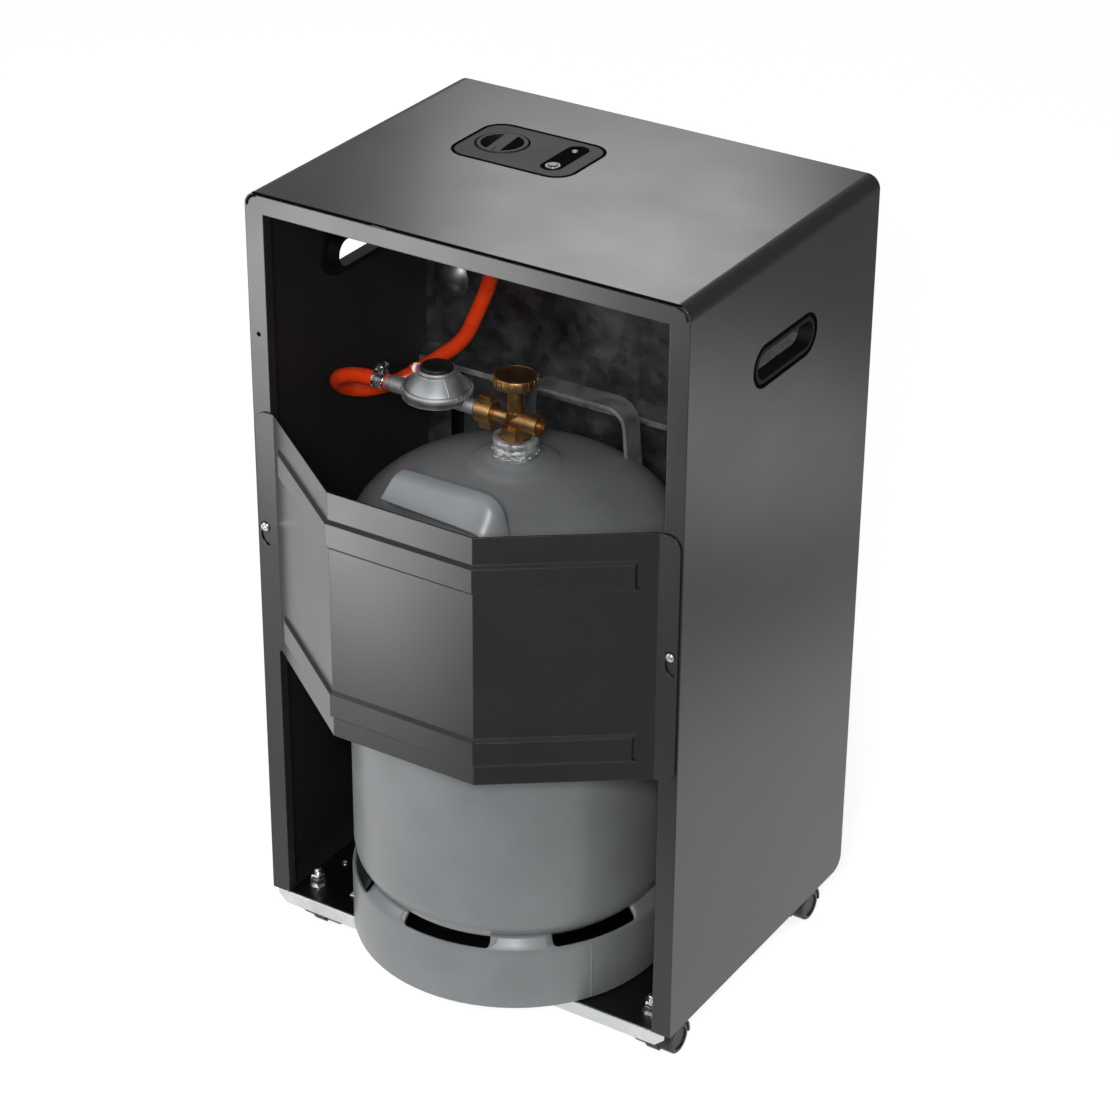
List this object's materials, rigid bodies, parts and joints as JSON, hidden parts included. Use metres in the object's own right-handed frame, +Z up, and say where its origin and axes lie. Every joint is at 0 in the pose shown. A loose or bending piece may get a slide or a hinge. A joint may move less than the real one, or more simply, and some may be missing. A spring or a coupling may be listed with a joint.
{
  "type": "portable gas cabinet heater",
  "caption": "Cabinet heater on casters: open-backed sheet-metal case with gas bottle, valve, regulator and hose, bent rear guard, flush knob, infrared tiles behind a front grille.",
  "frame": {"origin": "on the floor, at the centre of the bounding box", "axes": "+Z up, burner front faces -Y, open rear with the bent guard faces +Y, +X is the left side seen from the rear"},
  "size_m": [0.42, 0.402, 0.7316],
  "materials": {
    "anthracite_paint": "satin powder coat",
    "bottle_paint": "semi-gloss paint",
    "galvanised_sheet": "dull zinc coating with cloudy patches",
    "galvanised_casting": "rough zinc coating",
    "zinc_casting": "matt die casting",
    "brass": "turned, slightly dull",
    "plated_steel": "bright zinc plate",
    "polished_steel": "polished",
    "chrome_trim": "polished",
    "chrome_wire": "bright plated wire",
    "aluminium_pipe": "drawn tube",
    "black_plastic": "matt moulding",
    "wheel_plastic": "hard nylon tread",
    "black_gloss_plastic": "gloss moulding",
    "hose_rubber": "smooth orange-red",
    "red_plastic": "gloss",
    "white_plastic": "gloss",
    "burner_ceramic": "matt fired plaque",
    "electrode_ceramic": "smooth"
  },
  "bodies": {
    "cabinet": {"base_tray": "galvanised_sheet", "bottle_valve": "brass", "burner_plenums": "galvanised_sheet", "burner_tiles": "burner_ceramic", "button_plate": "black_gloss_plastic", "cabinet_shell": "anthracite_paint", "carry_handle_front": "galvanised_sheet", "carry_handle_rear": "bottle_paint", "caster_nuts": "plated_steel", "caster_stems": "plated_steel", "control_deck": "black_plastic", "control_plate": "anthracite_paint", "feed_pipe": "aluminium_pipe", "foot_ring": "bottle_paint", "front_grille": "chrome_wire", "front_panel": "anthracite_paint", "gas_bottle": "bottle_paint", "gas_hose": "hose_rubber", "gas_manifold": "plated_steel", "gas_tap": "zinc_casting", "guard_screws": "plated_steel", "hand_hold_trim_left": "anthracite_paint", "hand_hold_trim_right": "anthracite_paint", "heat_shield": "galvanised_sheet", "hose_clamp_regulator": "plated_steel", "hose_clamp_tap": "plated_steel", "hose_coupling": "black_plastic", "igniter_body": "chrome_trim", "lower_partition": "galvanised_sheet", "neck_ring": "galvanised_casting", "panel_screw": "plated_steel", "pilot_burner": "polished_steel", "reflector": "polished_steel", "regulator_body": "zinc_casting", "regulator_cap": "black_plastic", "regulator_cover": "zinc_casting", "shield_dome": "polished_steel", "spark_electrode": "electrode_ceramic", "thermocouple": "plated_steel", "vent_collar": "white_plastic"},
    "guard": {"rear_guard": "anthracite_paint"},
    "knob_push": {"push_collar": "black_plastic"},
    "knob": {"control_knob": "black_plastic", "tap_spindle": "brass"},
    "igniter": {"igniter_button": "black_gloss_plastic"},
    "relief_button": {"vent_button": "red_plastic"},
    "valve_wheel": {"handwheel": "brass", "handwheel_spindle": "brass", "handwheel_cap": "black_plastic"},
    "hand_nut": {"union_nut": "brass"},
    "swivel_front_left": {"caster_hood_front_left": "black_plastic"},
    "wheels_front_left": {"caster_wheels_front_left": "wheel_plastic"},
    "swivel_front_right": {"caster_hood_front_right": "black_plastic"},
    "wheels_front_right": {"caster_wheels_front_right": "wheel_plastic"},
    "swivel_rear_left": {"caster_hood_rear_left": "black_plastic"},
    "wheels_rear_left": {"caster_wheels_rear_left": "wheel_plastic"},
    "swivel_rear_right": {"caster_hood_rear_right": "black_plastic"},
    "wheels_rear_right": {"caster_wheels_rear_right": "wheel_plastic"}
  },
  "joints": [
    {"name": "guard_lift_off", "type": "slide", "parent": "cabinet", "child": "guard", "axis": [0, 1, 0], "range_m": [0, 0.15]},
    {"name": "knob_press", "type": "slide", "parent": "cabinet", "child": "knob_push", "axis": [0, 0, -1], "range_m": [0, 0.004], "stiffness_N_per_m": 1200, "springref_m": -0.002},
    {"name": "knob_turn", "type": "hinge", "parent": "knob_push", "child": "knob", "pos_m": [0.09, -0.091, 0.72], "axis": [0, 0, 1], "range_deg": [0, 180]},
    {"name": "igniter_press", "type": "slide", "parent": "cabinet", "child": "igniter", "axis": [0, 0, -1], "range_m": [0, 0.005], "stiffness_N_per_m": 900, "springref_m": -0.002},
    {"name": "relief_press", "type": "slide", "parent": "cabinet", "child": "relief_button", "axis": [-1, 0, 0], "range_m": [0, 0.002], "stiffness_N_per_m": 600, "springref_m": -0.001},
    {"name": "bottle_valve_turn", "type": "hinge", "parent": "cabinet", "child": "valve_wheel", "pos_m": [0.002, 0.024, 0.575], "axis": [0, 0, 1], "range_deg": [0, 720]},
    {"name": "union_nut_turn", "type": "hinge", "parent": "cabinet", "child": "hand_nut", "pos_m": [0.03075, 0.024, 0.543], "axis": [1, 0, 0], "range_deg": [-360, 360]},
    {"name": "caster_swivel_front_left", "type": "hinge", "parent": "cabinet", "child": "swivel_front_left", "pos_m": [0.178, -0.154, 0.04], "axis": [0, 0, 1], "continuous": true},
    {"name": "caster_roll_front_left", "type": "hinge", "parent": "swivel_front_left", "child": "wheels_front_left", "pos_m": [0.178, -0.169, 0.0145], "axis": [1, 0, 0], "continuous": true},
    {"name": "caster_swivel_front_right", "type": "hinge", "parent": "cabinet", "child": "swivel_front_right", "pos_m": [-0.178, -0.154, 0.04], "axis": [0, 0, 1], "continuous": true},
    {"name": "caster_roll_front_right", "type": "hinge", "parent": "swivel_front_right", "child": "wheels_front_right", "pos_m": [-0.178, -0.169, 0.0145], "axis": [1, 0, 0], "continuous": true},
    {"name": "caster_swivel_rear_left", "type": "hinge", "parent": "cabinet", "child": "swivel_rear_left", "pos_m": [0.178, 0.084, 0.04], "axis": [0, 0, 1], "continuous": true},
    {"name": "caster_roll_rear_left", "type": "hinge", "parent": "swivel_rear_left", "child": "wheels_rear_left", "pos_m": [0.178, 0.069, 0.0145], "axis": [1, 0, 0], "continuous": true},
    {"name": "caster_swivel_rear_right", "type": "hinge", "parent": "cabinet", "child": "swivel_rear_right", "pos_m": [-0.178, 0.084, 0.04], "axis": [0, 0, 1], "continuous": true},
    {"name": "caster_roll_rear_right", "type": "hinge", "parent": "swivel_rear_right", "child": "wheels_rear_right", "pos_m": [-0.178, 0.069, 0.0145], "axis": [1, 0, 0], "continuous": true}
  ]
}
